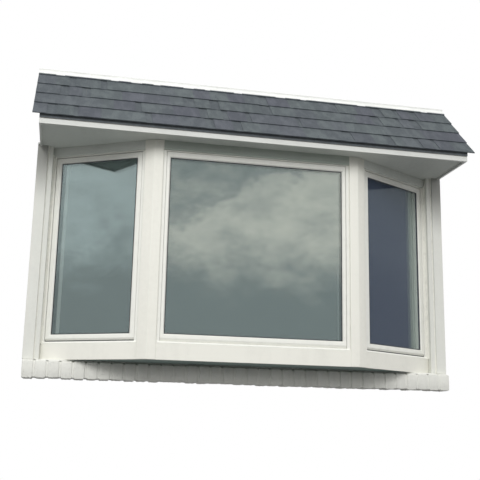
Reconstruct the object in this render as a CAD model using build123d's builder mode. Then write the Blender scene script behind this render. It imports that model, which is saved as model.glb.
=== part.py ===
"""Bay window with three lights at 30 degrees, a shingled lean-to roof and a brick-on-edge sill.

Axes: X along the wall to the right, +Y into the wall, +Z up. The wall's outer face is y = 0.
The origin is on the back of the roof ledger, the board that is bolted to the wall.
All sizes are in millimetres.
"""
from build123d import *
from math import cos, radians, sin, tan
import os

# Plan of the bay
front_half = 590.0          # half of the front, corner to corner, over the corner covers
bay_out = 255.0             # front covers in front of the wall face
bay_angle = 30.0            # each side light turns back by this angle
opening_half = 1230.0       # half of the opening in the wall
reach_clearance = 3.0       # the bay's boards end this far behind the side lights' frames

# Heights, measured from the underside of the aprons
seat_drop = 1530.0          # underside of the aprons below the origin
apron_height = 88.0         # apron board, up to the window frames
frame_height = 1085.0       # window frames, seat to head board
head_thickness = 40.0
frieze_height = 52.0

# Boards and trim
seat_thickness = 32.0
trim_thickness = 10.0       # apron and frieze boards
trim_recess = 2.0           # trim boards behind the corner covers
cover_front = 50.0          # corner cover, width on the front
cover_side = 60.0           # corner cover, width on the side light
joint_gap = 1.2             # open joint between neighbouring pieces
front_joint = 2.0           # open joint between corner cover and centre frame
underside_thickness = 10.0
joist_width = 38.0
joist_spacing = 270.0
joist_count = 7

# Casing at the wall
casing_width = 58.0
casing_thickness = 19.0
casing_recess = 15.0        # casing behind the wall face
moulding_width = 24.0
moulding_clearance = 2.4    # side light's far corner to the moulding
moulding_proud = 36.0       # moulding in front of the side light's far corner
moulding_lap = 4.0          # moulding over the edge of the side light's frame
moulding_bevel = 1.5
casing_groove = 2.0         # open groove between casing and moulding

# Window frames and sashes
frame_depth = 80.0
side_rim = 18.0             # frame face beside an opening sash
front_rim = 17.0            # frame face beside the fixed centre sash
head_rim = 18.0             # frame face above a sash
sill_rim = 12.0             # frame below a sash
stop_width = 20.0           # inner stop that the sash closes on
stop_depth = 30.0
nose_height = 3.0           # front edge of the sloped frame sill
side_gap = 3.0              # round an opening sash
side_gap_below = 6.0        # under an opening sash
front_gap = 1.5             # round the fixed centre sash
sash_recess = 4.0           # sash face behind the frame face
side_sight = 53.0           # side frame's outer edge to the glass in view
front_sight = 41.0          # centre frame's outer edge to the glass in view
rail_sight = 53.0           # the same above and below
rail_slope_top = 29.0       # the bottom rail slopes back below this height
rail_slope_depth = 8.0
glazing_bevel = 7.0
bevel_depth = 8.0

# Insulating glass
pane_thickness = 4.0
glass_cavity = 16.0
glass_bite = 12.0           # depth of the glazing pocket
glass_clearance = 0.5
spacer_hide = 1.0           # spacer behind the sight line

# Window crank on the inside of each side light
crank_base = (92.0, 26.0, 16.0)
crank_arm_length = 84.0
crank_arm_width = 11.0
crank_arm_thickness = 7.0
crank_knob_radius = 8.0
crank_knob_height = 18.0
crank_inset = 150.0         # crank centre from the far end of the frame

# Roof
roof_inset = 12.0           # roof ends inside the sides of the opening
roof_pitch = 45.0
fascia_out = 380.0          # fascia face in front of the wall
fascia_lip = 11.0           # fascia and roof ends below the soffit
fascia_thickness = 18.0
soffit_thickness = 10.0
roof_end_thickness = 12.0
deck_thickness = 15.0
deck_edge_out = 384.0       # plumb edge of the deck in front of the wall
deck_above_soffit = 426.7   # top of the deck at the wall, above the soffit's lower face
rafter_width = 38.0
rafter_depth = 64.0
rafter_count = 7
ledger_thickness = 38.0
ledger_height = 178.5
drip_thickness = 1.5
drip_drop = 23.0            # face of the drip edge
drip_flange = 40.0          # flange on the deck

# Shingles
shingle_thickness = 5.5
shingle_exposure = 132.0
shingle_lap = 25.0
shingle_courses = 4
shingle_rake_overhang = 37.0
shingle_eave_overhang = 17.0
shingle_end_gap = 7.0       # top course stops short of the wall, under the flashing
lap_ramp = 12.0             # from the course below down to the deck

# Flashing against the wall
flashing_thickness = 2.0
flashing_leg = 14.0
flashing_upstand = 16.0

# Brick-on-edge sill
sill_inset = 4.0            # sill ends inside the sides of the opening
sill_out = 30.0
sill_inside = 90.0
sill_height = 104.0         # lower edge below the aprons
sill_fall = 9.0             # front edge below the back
sill_flat_start = 12.0      # the slope ends this far behind the wall face

# Levels
apron_low = -seat_drop
seat_top = apron_low + apron_height
frame_top = seat_top + frame_height
soffit_low = frame_top + head_thickness
soffit_top = soffit_low + soffit_thickness
fascia_low = soffit_low - fascia_lip
frieze_low = soffit_low - frieze_height

# Depths behind the front of the corner covers
trim_back = trim_recess + trim_thickness
frame_back = trim_back + frame_depth
sash_face = trim_back + sash_recess
glass_face = sash_face + bevel_depth
unit_thickness = 2 * pane_thickness + glass_cavity
rebate_depth = frame_depth - stop_depth
sash_depth = rebate_depth - sash_recess     # the sash closes on the frame's inner stop

turn = radians(bay_angle)
pitch = radians(roof_pitch)

# Positions along the wall
roof_half = opening_half - roof_inset
sill_half = opening_half - sill_inset
casing_inner = opening_half - casing_width
moulding_right = casing_inner - casing_groove
moulding_left = moulding_right - moulding_width
front_frame_half = front_half - cover_front - front_joint

# Side light, measured along it from the corner of the bay
side_frame_start = cover_side + joint_gap
side_frame_end = (moulding_left - moulding_clearance - front_half) / cos(turn)
wall_post_start = side_frame_end + joint_gap
wall_reach = side_frame_end * sin(turn) - bay_out + frame_back * cos(turn) + reach_clearance

os.makedirs("parts", exist_ok=True)


def side_point(along, depth):
    """Plan point of the right side light: along it from the corner, and behind its face."""
    return (
        front_half + along * cos(turn) - depth * sin(turn),
        -bay_out + along * sin(turn) + depth * cos(turn),
    )


def side_along(y, depth):
    """Distance along the side light at which a line at this depth reaches y."""
    return (y + bay_out - depth * cos(turn)) / sin(turn)


def corner_point(depth):
    """Plan point where the front and the side light meet, at a depth behind both faces."""
    return (front_half - depth * tan(turn / 2), -bay_out + depth)


def mirrored(points):
    """Close a plan outline that is symmetric about X = 0 from its right half, front to back."""
    return points + [(-x, y) for x, y in reversed(points)]


def save(builder, name):
    builder.part.label = name
    export_step(builder.part, f"parts/{name}.step")


front_plane = Plane(origin=(0, -bay_out, 0), x_dir=(1, 0, 0), z_dir=(0, -1, 0))
side_plane = Plane(
    origin=(front_half, -bay_out, 0),
    x_dir=(cos(turn), sin(turn), 0),
    z_dir=(sin(turn), -cos(turn), 0),
)


def add_rectangle(left, right, low, high, mode=Mode.ADD):
    """A rectangle by its edges, in the current sketch."""
    with Locations(((left + right) / 2, (low + high) / 2)):
        Rectangle(right - left, high - low, mode=mode)


def plate(plane, edges, depth, thickness):
    """A rectangular board in a window's plane, from this depth inwards."""
    with BuildPart() as board:
        with BuildSketch(plane.offset(-depth)):
            add_rectangle(*edges)
        extrude(amount=-thickness)
    return board


def upright(points, low, high):
    """A plan outline extruded from one level to another."""
    with BuildPart() as piece:
        with BuildSketch(Plane.XY.offset(low)):
            with BuildLine():
                Polyline(*points, close=True)
            make_face()
        extrude(amount=high - low)
    return piece


def lengthwise(points, half):
    """A section in the YZ plane, extruded to both sides of X = 0."""
    with BuildPart() as piece:
        with BuildSketch(Plane.YZ):
            with BuildLine():
                Polyline(*points, close=True)
            make_face()
        extrude(amount=half, both=True)
    return piece


def left_of(right_piece):
    """The same piece on the other side of the bay."""
    with BuildPart() as piece:
        mirror(right_piece.part, about=Plane.YZ)
    return piece


def save_pair(right_piece, name):
    save(right_piece, f"right_{name}")
    save(left_of(right_piece), f"left_{name}")


# Seat, head board and what carries the underside
def board_outline():
    back_along = side_along(wall_reach, trim_back)
    right_half = [corner_point(trim_back), side_point(wall_post_start, trim_back)]
    back_depth = trim_back + (back_along - wall_post_start) * sin(turn) / cos(turn)
    return mirrored(right_half + [side_point(wall_post_start, back_depth)])


seat_board = upright(board_outline(), seat_top - seat_thickness, seat_top)
save(seat_board, "seat_board")

head_board = upright(board_outline(), frame_top, soffit_low)
save(head_board, "head_board")

underside_top = apron_low + underside_thickness
seat_underside = upright(board_outline(), apron_low, underside_top)
save(seat_underside, "seat_underside")


def joist_front(x):
    """Where a joist stops behind the apron, at its outer side."""
    outer = abs(x) + joist_width / 2
    corner_x, corner_y = corner_point(trim_back)
    return corner_y + max(0.0, outer - corner_x) * tan(turn)


with BuildPart() as seat_joists:
    for number in range(joist_count):
        joist_x = (number - (joist_count - 1) / 2) * joist_spacing
        with BuildSketch(Plane.XY.offset(underside_top)):
            add_rectangle(
                joist_x - joist_width / 2,
                joist_x + joist_width / 2,
                joist_front(joist_x),
                wall_reach,
            )
        extrude(amount=seat_top - seat_thickness - underside_top)
save(seat_joists, "seat_joists")

# Corner posts under bent covers
corner_post = upright(
    [
        (front_half - cover_front, -bay_out + trim_back),
        corner_point(trim_back),
        side_point(cover_side, trim_back),
        side_point(cover_side, frame_back),
        corner_point(frame_back),
        (front_half - cover_front, -bay_out + frame_back),
    ],
    seat_top,
    frame_top,
)
save_pair(corner_post, "corner_post")

corner_cover = upright(
    [
        (front_half - cover_front, -bay_out),
        (front_half, -bay_out),
        side_point(cover_side, 0),
        side_point(cover_side, trim_back),
        corner_point(trim_back),
        (front_half - cover_front, -bay_out + trim_back),
    ],
    apron_low,
    soffit_low,
)
save_pair(corner_cover, "corner_cover")

# Posts, mouldings and casings in the wall opening
casing_back = casing_recess + casing_thickness
post_front_y = side_point(side_frame_end, 0)[1]
post_start_depth = (post_front_y - side_point(wall_post_start, 0)[1]) / cos(turn)
post_back_depth = (wall_reach - side_point(wall_post_start, 0)[1]) / cos(turn)
wall_post = upright(
    [
        side_point(wall_post_start, post_start_depth),
        (casing_inner, post_front_y),
        (casing_inner, casing_back),
        (opening_half, casing_back),
        (opening_half, wall_reach),
        side_point(wall_post_start, post_back_depth),
    ],
    apron_low,
    soffit_low,
)
save_pair(wall_post, "wall_post")

moulding_front = post_front_y - moulding_proud
lap_left = moulding_left - moulding_lap
lap_back = post_front_y - (moulding_lap - moulding_clearance) * tan(turn) - joint_gap
jamb_moulding = upright(
    [
        (moulding_left, post_front_y),
        (moulding_left, lap_back),
        (lap_left, lap_back),
        (lap_left, moulding_front + moulding_bevel),
        (lap_left + moulding_bevel, moulding_front),
        (moulding_right - moulding_bevel, moulding_front),
        (moulding_right, moulding_front + moulding_bevel),
        (moulding_right, post_front_y),
    ],
    apron_low,
    soffit_low,
)
save_pair(jamb_moulding, "jamb_moulding")

casing = upright(
    [
        (casing_inner, casing_recess),
        (opening_half, casing_recess),
        (opening_half, casing_back),
        (casing_inner, casing_back),
    ],
    apron_low,
    soffit_low,
)
save_pair(casing, "casing")


# The three windows: frame, sash, double glass and spacer in one plane
def inset(edges, across, up):
    """Edges of a rectangle moved inwards, or outwards when negative."""
    left, right, low, high = edges
    return (left + across, right - across, low + up, high - up)


def profile_plane(plane, left, low):
    """Plane across a window at its left edge: X outwards and Y down."""
    return Plane(
        origin=plane.from_local_coords((left, low, 0)), x_dir=plane.z_dir, z_dir=plane.x_dir
    )


def window_frame(plane, outer, rebate):
    """Frame with a rebate for the sash, an inner stop and a sloped sill nose."""
    daylight = inset(rebate, stop_width, stop_width)
    left, right, low, _ = outer
    with BuildPart() as frame:
        with BuildSketch(plane.offset(-trim_back)):
            add_rectangle(*outer)
        extrude(amount=-frame_depth)
        with BuildSketch(plane.offset(-trim_back)):
            add_rectangle(*rebate)
        extrude(amount=-rebate_depth, mode=Mode.SUBTRACT)
        with BuildSketch(plane.offset(-trim_back)):
            add_rectangle(*daylight)
        extrude(amount=-frame_depth, mode=Mode.SUBTRACT)
        with BuildSketch(profile_plane(plane, left, low)):
            with BuildLine():
                Polyline(
                    (-trim_back, 0),
                    (-trim_recess, 0),
                    (-trim_recess, -nose_height),
                    (-trim_back, -sill_rim),
                    close=True,
                )
            make_face()
        extrude(amount=right - left)
    return frame


def window_sash(plane, outer, sight, slope_height):
    """Sash with a bevelled glazing leg, a sloped bottom rail and a pocket that holds the glass."""
    pocket = inset(sight, -glass_bite, -glass_bite)
    bevel = inset(sight, -glazing_bevel, -glazing_bevel)
    left, right, low, _ = outer
    with BuildPart() as sash:
        with BuildSketch(plane.offset(-sash_face)):
            add_rectangle(*outer)
        extrude(amount=-sash_depth)
        with BuildSketch(plane.offset(-sash_face)):
            add_rectangle(*sight)
        extrude(amount=-sash_depth, mode=Mode.SUBTRACT)
        with BuildSketch(plane.offset(-sash_face)):
            add_rectangle(*bevel)
        with BuildSketch(plane.offset(-glass_face)):
            add_rectangle(*sight)
        loft(mode=Mode.SUBTRACT)
        with BuildSketch(plane.offset(-glass_face)):
            add_rectangle(*pocket)
        extrude(amount=-unit_thickness, mode=Mode.SUBTRACT)
        with BuildSketch(profile_plane(plane, left, low)):
            with BuildLine():
                Polyline(
                    (-sash_face, 0),
                    (-sash_face, -slope_height),
                    (-sash_face - rail_slope_depth, 0),
                    close=True,
                )
            make_face()
        extrude(amount=right - left, mode=Mode.SUBTRACT)
    return sash


def double_glass(plane, sight):
    """Two panes, one on each side of the cavity."""
    pane = inset(sight, glass_clearance - glass_bite, glass_clearance - glass_bite)
    with BuildPart() as glass:
        for depth in (glass_face, glass_face + pane_thickness + glass_cavity):
            with BuildSketch(plane.offset(-depth)):
                add_rectangle(*pane)
            extrude(amount=-pane_thickness)
    return glass


def glass_spacer(plane, sight):
    """The bar round the cavity, just outside the sight line."""
    outer = inset(sight, glass_clearance - glass_bite, glass_clearance - glass_bite)
    inner = inset(sight, -spacer_hide, -spacer_hide)
    with BuildPart() as spacer:
        with BuildSketch(plane.offset(-glass_face - pane_thickness)):
            add_rectangle(*outer)
            add_rectangle(*inner, mode=Mode.SUBTRACT)
        extrude(amount=-glass_cavity)
    return spacer


def window(plane, start, end, rim, sight_width, gap, gap_below):
    """All pieces of one window between two points of its plane."""
    outer = (start, end, seat_top, frame_top)
    rebate = (start + rim, end - rim, seat_top + sill_rim, frame_top - head_rim)
    sash_edges = (
        start + rim + gap,
        end - rim - gap,
        seat_top + sill_rim + gap_below,
        frame_top - head_rim - gap,
    )
    sight = inset(outer, sight_width, rail_sight)
    slope_height = rail_slope_top - sill_rim - gap_below
    apron = (start - joint_gap / 2, end + joint_gap / 2, apron_low, seat_top)
    frieze = (start - joint_gap / 2, end + joint_gap / 2, frieze_low, soffit_low)
    return {
        "frame": window_frame(plane, outer, rebate),
        "sash": window_sash(plane, sash_edges, sight, slope_height),
        "glass": double_glass(plane, sight),
        "spacer": glass_spacer(plane, sight),
        "apron": plate(plane, apron, trim_recess, trim_thickness),
        "frieze": plate(plane, frieze, trim_recess, trim_thickness),
    }


centre_window = window(
    front_plane,
    -front_frame_half,
    front_frame_half,
    front_rim,
    front_sight,
    front_gap,
    front_gap,
)
for name, piece in centre_window.items():
    save(piece, f"centre_{name}")

side_window = window(
    side_plane,
    side_frame_start,
    side_frame_end,
    side_rim,
    side_sight,
    side_gap,
    side_gap_below,
)
for name, piece in side_window.items():
    save_pair(piece, name)

# Crank that opens the side sash, folded along the inner stop
crank_width, crank_height, crank_depth = crank_base
crank_x = side_frame_end - crank_inset
crank_z = seat_top + crank_height / 2
with BuildPart() as crank:
    with BuildSketch(side_plane.offset(-frame_back)):
        with Locations((crank_x, crank_z)):
            RectangleRounded(crank_width, crank_height, crank_height / 4)
    extrude(amount=-crank_depth)
    with BuildSketch(side_plane.offset(-frame_back - crank_depth)):
        with Locations((crank_x - crank_arm_length / 2, crank_z)):
            SlotOverall(crank_arm_length + crank_arm_width, crank_arm_width)
    extrude(amount=-crank_arm_thickness)
    with BuildSketch(side_plane.offset(-frame_back - crank_depth - crank_arm_thickness)):
        with Locations((crank_x - crank_arm_length, crank_z)):
            Circle(crank_knob_radius)
    extrude(amount=-crank_knob_height)
save_pair(crank, "crank")

# Roof: soffit, fascia, ends, ledger, rafters and deck
deck_top_wall = soffit_low + deck_above_soffit
deck_low_wall = deck_top_wall - deck_thickness / cos(pitch)


def under_deck(y):
    """Height of the deck's lower face at y."""
    return deck_low_wall + y * tan(pitch)


# The soffit runs on into the opening, over the heads of the casings, posts and friezes
fascia_back = -fascia_out + fascia_thickness
soffit = upright(
    mirrored(
        [
            (roof_half - roof_end_thickness, fascia_back),
            (roof_half - roof_end_thickness, 0),
            (opening_half, 0),
            (opening_half, wall_reach),
        ]
    ),
    soffit_low,
    soffit_top,
)
save(soffit, "soffit")

fascia = lengthwise(
    [
        (-fascia_out, fascia_low),
        (fascia_back, fascia_low),
        (fascia_back, under_deck(fascia_back)),
        (-fascia_out, under_deck(-fascia_out)),
    ],
    roof_half,
)
save(fascia, "fascia")

with BuildPart() as roof_end:
    with BuildSketch(Plane.YZ.offset(roof_half - roof_end_thickness)):
        with BuildLine():
            Polyline(
                (fascia_back, fascia_low),
                (0, fascia_low),
                (0, under_deck(0)),
                (fascia_back, under_deck(fascia_back)),
                close=True,
            )
        make_face()
    extrude(amount=roof_end_thickness)
save_pair(roof_end, "roof_end")

ledger_half = roof_half - roof_end_thickness
ledger_low = under_deck(0) - ledger_height
roof_ledger = lengthwise(
    [
        (0, ledger_low),
        (0, under_deck(0)),
        (-ledger_thickness, under_deck(-ledger_thickness)),
        (-ledger_thickness, ledger_low),
    ],
    ledger_half,
)
save(roof_ledger, "roof_ledger")

rafter_drop = rafter_depth / cos(pitch)
heel_y = (soffit_top + rafter_drop - deck_low_wall) / tan(pitch)
rafter_span = 2 * ledger_half - rafter_width
with BuildPart() as rafters:
    for number in range(rafter_count):
        rafter_x = -ledger_half + number * rafter_span / (rafter_count - 1)
        with BuildSketch(Plane.YZ.offset(rafter_x)):
            with BuildLine():
                Polyline(
                    (fascia_back, soffit_top),
                    (heel_y, soffit_top),
                    (-ledger_thickness, under_deck(-ledger_thickness) - rafter_drop),
                    (-ledger_thickness, under_deck(-ledger_thickness)),
                    (fascia_back, under_deck(fascia_back)),
                    close=True,
                )
            make_face()
        extrude(amount=rafter_width)
save(rafters, "rafters")

deck_rise = deck_thickness / cos(pitch)
roof_deck = lengthwise(
    [
        (-deck_edge_out, under_deck(-deck_edge_out)),
        (0, under_deck(0)),
        (0, deck_top_wall),
        (-deck_edge_out, under_deck(-deck_edge_out) + deck_rise),
    ],
    roof_half,
)
save(roof_deck, "roof_deck")

# Roof coordinates: up the slope from the shingles' lower edge, and above the deck
eave_y = -deck_edge_out - shingle_eave_overhang * cos(pitch)
eave_z = deck_top_wall + eave_y * tan(pitch)


def on_roof(up, above):
    return (
        eave_y + up * cos(pitch) - above * sin(pitch),
        eave_z + up * sin(pitch) + above * cos(pitch),
    )


drip_up = shingle_eave_overhang
drip_face_top = under_deck(-deck_edge_out) + deck_rise
drip_corner_rise = drip_thickness / cos(pitch) - drip_thickness * tan(pitch)
drip_edge = lengthwise(
    [
        on_roof(drip_up + drip_flange, 0),
        on_roof(drip_up + drip_flange, drip_thickness),
        (-deck_edge_out - drip_thickness, drip_face_top + drip_corner_rise),
        (-deck_edge_out - drip_thickness, drip_face_top - drip_drop),
        (-deck_edge_out, drip_face_top - drip_drop),
        (-deck_edge_out, drip_face_top),
    ],
    roof_half,
)
save(drip_edge, "drip_edge")

# Shingle courses, each lapped over the one below
course_length = shingle_exposure + shingle_lap
butt_rise = shingle_thickness * course_length / shingle_exposure
butt_top = butt_rise + shingle_thickness
shingle_half = roof_half + shingle_rake_overhang
slope_length = -eave_y / cos(pitch) - shingle_end_gap

first_course = lengthwise(
    [
        on_roof(0, drip_thickness),
        on_roof(drip_up + drip_flange, drip_thickness),
        on_roof(drip_up + drip_flange + lap_ramp, 0),
        on_roof(course_length, 0),
        on_roof(course_length, shingle_thickness),
        on_roof(0, butt_top),
    ],
    shingle_half,
)
save(first_course, "shingle_course_1")

for number in range(1, shingle_courses):
    start = number * shingle_exposure
    course = lengthwise(
        [
            on_roof(start, butt_rise),
            on_roof(start + shingle_lap, shingle_thickness),
            on_roof(start + shingle_lap + lap_ramp, 0),
            on_roof(start + course_length, 0),
            on_roof(start + course_length, shingle_thickness),
            on_roof(start, butt_top),
        ],
        shingle_half,
    )
    save(course, f"shingle_course_{number + 1}")

top_start = shingle_courses * shingle_exposure


def below_top_course(up):
    """Height of the fourth course's upper face under the top course."""
    share = (up - top_start) / shingle_lap
    return butt_rise + (shingle_thickness - butt_rise) * share


top_course = lengthwise(
    [
        on_roof(top_start, butt_rise),
        on_roof(slope_length, below_top_course(slope_length)),
        on_roof(slope_length, below_top_course(slope_length) + shingle_thickness),
        on_roof(top_start, butt_top),
    ],
    shingle_half,
)
save(top_course, "shingle_course_5")

# Flashing: a leg on the top course and an upstand against the wall
def on_top_course(up):
    """A point on the upper face of the top course."""
    return on_roof(up, below_top_course(up) + shingle_thickness)


leg_y, leg_z = on_top_course(slope_length - flashing_leg)
bend_y, bend_z = on_top_course(slope_length)
leg_rise = flashing_thickness / cos(pitch)
upstand_low = bend_z - bend_y * tan(pitch)
wall_flashing = lengthwise(
    [
        (leg_y, leg_z),
        (bend_y, bend_z),
        (0, upstand_low),
        (0, upstand_low + flashing_upstand),
        (-flashing_thickness, upstand_low + flashing_upstand),
        (-flashing_thickness, upstand_low - flashing_thickness * tan(pitch) + leg_rise),
        (bend_y, bend_z + leg_rise),
        (leg_y, leg_z + leg_rise),
    ],
    shingle_half,
)
save(wall_flashing, "wall_flashing")

# Sill of bricks on edge, with a weathered top
brick_sill = lengthwise(
    [
        (-sill_out, apron_low - sill_height),
        (sill_inside, apron_low - sill_height),
        (sill_inside, apron_low),
        (sill_flat_start, apron_low),
        (-sill_out, apron_low - sill_fall),
    ],
    sill_half,
)
save(brick_sill, "brick_sill")
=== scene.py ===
"""A bay window's looks: shingles, painted bricks, panes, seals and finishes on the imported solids.

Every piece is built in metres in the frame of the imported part: X along the wall to the right, +Y into
the wall, +Z up, with the wall's outer face at y = 0.
"""

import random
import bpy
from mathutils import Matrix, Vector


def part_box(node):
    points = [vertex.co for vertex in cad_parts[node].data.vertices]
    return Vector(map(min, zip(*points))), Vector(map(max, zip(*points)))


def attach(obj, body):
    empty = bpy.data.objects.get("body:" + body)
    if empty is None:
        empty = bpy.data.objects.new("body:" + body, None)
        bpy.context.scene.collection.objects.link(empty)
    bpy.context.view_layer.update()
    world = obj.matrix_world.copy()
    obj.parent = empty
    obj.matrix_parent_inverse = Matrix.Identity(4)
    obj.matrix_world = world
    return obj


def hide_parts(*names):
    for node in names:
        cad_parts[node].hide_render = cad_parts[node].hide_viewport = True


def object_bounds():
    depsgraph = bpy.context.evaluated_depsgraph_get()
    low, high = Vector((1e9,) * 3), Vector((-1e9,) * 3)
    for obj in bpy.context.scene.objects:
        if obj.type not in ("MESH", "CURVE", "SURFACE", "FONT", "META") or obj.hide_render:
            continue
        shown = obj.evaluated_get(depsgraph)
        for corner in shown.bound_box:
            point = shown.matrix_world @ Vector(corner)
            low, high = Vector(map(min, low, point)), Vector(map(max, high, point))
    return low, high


bl_info = {
    "name": "Bay Window Dressing",
    "version": (1, 0, 0),
    "blender": (4, 5, 0),
    "location": "View3D > Sidebar > Bay Window",
    "description": "Lays shingles and sill bricks, glazes the lights and finishes the boards",
    "category": "Object",
}

from math import cos, pi, radians, sin

import bmesh
import bpy
from bpy.props import FloatProperty, FloatVectorProperty, IntProperty, PointerProperty
from bpy.types import Operator, Panel, PropertyGroup
from mathutils import Vector, noise

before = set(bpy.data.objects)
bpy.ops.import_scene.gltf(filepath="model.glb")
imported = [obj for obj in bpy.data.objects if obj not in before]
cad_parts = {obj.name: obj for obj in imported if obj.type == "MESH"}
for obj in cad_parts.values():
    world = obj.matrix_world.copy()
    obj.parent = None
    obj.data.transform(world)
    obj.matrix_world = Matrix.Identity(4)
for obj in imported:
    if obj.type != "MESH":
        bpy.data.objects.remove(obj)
cad_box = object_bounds()

SMOOTH_ANGLE = radians(35)
FLAT_ANGLE = radians(0.5)  # between CAD facets that count as one face
EDGE_ANGLE = radians(20)  # from which a CAD edge is rounded
MERGED = 0.00002
LEVEL_WITH = 0.0001  # how far from the front a corner may be and still count as there
SIDES = ("left", "right")
LIGHTS = ("left", "centre", "right")
SOFFIT_SHADE_HEIGHTS = (-0.66, -0.30)  # heights between which the painted shade under the soffit deepens on the casings
BAY_SHADE_SPAN = (0.7, 1.1)  # distances from the middle over which the painted shade under the bay fades out along the sill
REFLECTED_HAZE = (-1.42, -0.75)  # heights between which the painted reflection of the air brightens upwards
BANK_EDGE = (-0.16, -0.02)  # band at the slanting upper edge of the painted cloud bank reflection
BANK_SLANT = 0.45  # how steeply that edge rises to the right
SASH_RECESS = 0.004  # from a frame's front face back to its sash


# Settings that a user would change
class BayRoofSettings(PropertyGroup):
    """Shingles and flashing of the lean-to roof."""

    pitch: FloatProperty(
        name="Pitch", description="Slope of the roof", default=radians(45), subtype="ANGLE"
    )
    exposure: FloatProperty(
        name="Exposure",
        description="Visible height of a course",
        default=0.132,
        subtype="DISTANCE",
    )
    lap: FloatProperty(
        name="Lap",
        description="Part of a course under the next one",
        default=0.025,
        subtype="DISTANCE",
    )
    thickness: FloatProperty(
        name="Thickness",
        description="Shingle thickness at the butt, both layers",
        default=0.0055,
        subtype="DISTANCE",
    )
    eave_overhang: FloatProperty(
        name="Eave overhang",
        description="First course beyond the edge of the deck",
        default=0.017,
        subtype="DISTANCE",
    )
    shortest_tab: FloatProperty(
        name="Shortest tab",
        description="Narrowest tab of the upper layer",
        default=0.06,
        subtype="DISTANCE",
    )
    longest_tab: FloatProperty(
        name="Longest tab",
        description="Widest tab of the upper layer",
        default=0.15,
        subtype="DISTANCE",
    )
    dark: FloatVectorProperty(
        name="Dark granules",
        description="Colour of the darkest granules",
        default=(0.040, 0.046, 0.056),
        subtype="COLOR",
    )
    light: FloatVectorProperty(
        name="Light granules",
        description="Colour of the lightest granules",
        default=(0.140, 0.163, 0.166),
        subtype="COLOR",
    )
    violet: FloatVectorProperty(
        name="Violet granules",
        description="Colour of the granules that some tabs have",
        default=(0.122, 0.128, 0.152),
        subtype="COLOR",
    )
    flashing: FloatVectorProperty(
        name="Flashing",
        description="Colour of the painted flashing and its sealant",
        default=(0.80, 0.81, 0.78),
        subtype="COLOR",
    )
    drip: FloatVectorProperty(
        name="Drip edge",
        description="Colour of the coated drip edge",
        default=(0.080, 0.091, 0.098),
        subtype="COLOR",
    )


class BaySillSettings(PropertyGroup):
    """Bricks on edge under the bay."""

    bricks: IntProperty(name="Bricks", description="Bricks along the sill", default=36, min=1)
    joint: FloatProperty(
        name="Joint",
        description="Mortar between two bricks",
        default=0.010,
        subtype="DISTANCE",
    )
    joint_depth: FloatProperty(
        name="Joint depth",
        description="Mortar behind the faces of the bricks",
        default=0.005,
        subtype="DISTANCE",
    )
    unevenness: FloatProperty(
        name="Unevenness",
        description="How far one brick's lower edge may lie above another's",
        default=0.005,
        subtype="DISTANCE",
    )
    worn_corner: FloatProperty(
        name="Worn corner",
        description="Radius of a brick's worn lower corners",
        default=0.0095,
        subtype="DISTANCE",
    )
    paint: FloatVectorProperty(
        name="Paint",
        description="Colour of the masonry paint",
        default=(0.765, 0.765, 0.715),
        subtype="COLOR",
    )
    # Also the colour of the painted shade under the bay.
    dirt_and_shade: FloatVectorProperty(
        name="Dirt",
        description="Colour of the dirt in pits and joints",
        default=(0.40, 0.40, 0.36),
        subtype="COLOR",
    )


class BayTrimSettings(PropertyGroup):
    """Boards, covers, panels and framing."""

    edge: FloatProperty(
        name="Edge radius",
        description="Rounding of the boards' edges",
        default=0.0012,
        subtype="DISTANCE",
    )
    bend: FloatProperty(
        name="Bend radius",
        description="Rounding of the bent corner covers",
        default=0.0032,
        subtype="DISTANCE",
    )
    white: FloatVectorProperty(
        name="Trim white",
        description="Colour of the coated trim",
        default=(0.815, 0.808, 0.738),
        subtype="COLOR",
    )
    # Its grey also stands as painted shade on the side friezes.
    soffit: FloatVectorProperty(
        name="Soffit white",
        description="Colour of the soffit and the side friezes",
        default=(0.68, 0.705, 0.665),
        subtype="COLOR",
    )
    # Painted shade: a dark grey-green for the shade under the seat.
    underside: FloatVectorProperty(
        name="Underside",
        description="Colour of the weathered panel under the seat",
        default=(0.215, 0.275, 0.255),
        subtype="COLOR",
    )
    # Painted shade: the fascia and roof ends take a darker copy of the trim white for the shade under the
    # eave.
    fascia: FloatVectorProperty(
        name="Fascia white",
        description="Colour of the fascia and the roof ends, dulled by what drips off the roof",
        default=(0.66, 0.67, 0.64),
        subtype="COLOR",
    )
    # Painted shade: the centre frieze takes a dark copy of the trim white for the deep shade under the
    # soffit.
    frieze: FloatVectorProperty(
        name="Frieze white",
        description="Colour of the centre frieze, dusty as no rain washes it",
        default=(0.42, 0.465, 0.42),
        subtype="COLOR",
    )
    # Painted shade: the casings and mouldings take a darker copy of the trim white for the shade at the
    # wall.
    casing: FloatVectorProperty(
        name="Casing white",
        description="Colour of the casings and mouldings at the wall",
        default=(0.72, 0.725, 0.675),
        subtype="COLOR",
    )
    interior: FloatVectorProperty(
        name="Interior white",
        description="Colour of the painted seat and head board",
        default=(0.78, 0.77, 0.72),
        subtype="COLOR",
    )
    timber: FloatVectorProperty(
        name="Timber",
        description="Colour of the sawn softwood",
        default=(0.56, 0.40, 0.24),
        subtype="COLOR",
    )
    late_wood: FloatVectorProperty(
        name="Late wood",
        description="Colour of the grain lines in the softwood",
        default=(0.36, 0.22, 0.11),
        subtype="COLOR",
    )


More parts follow.
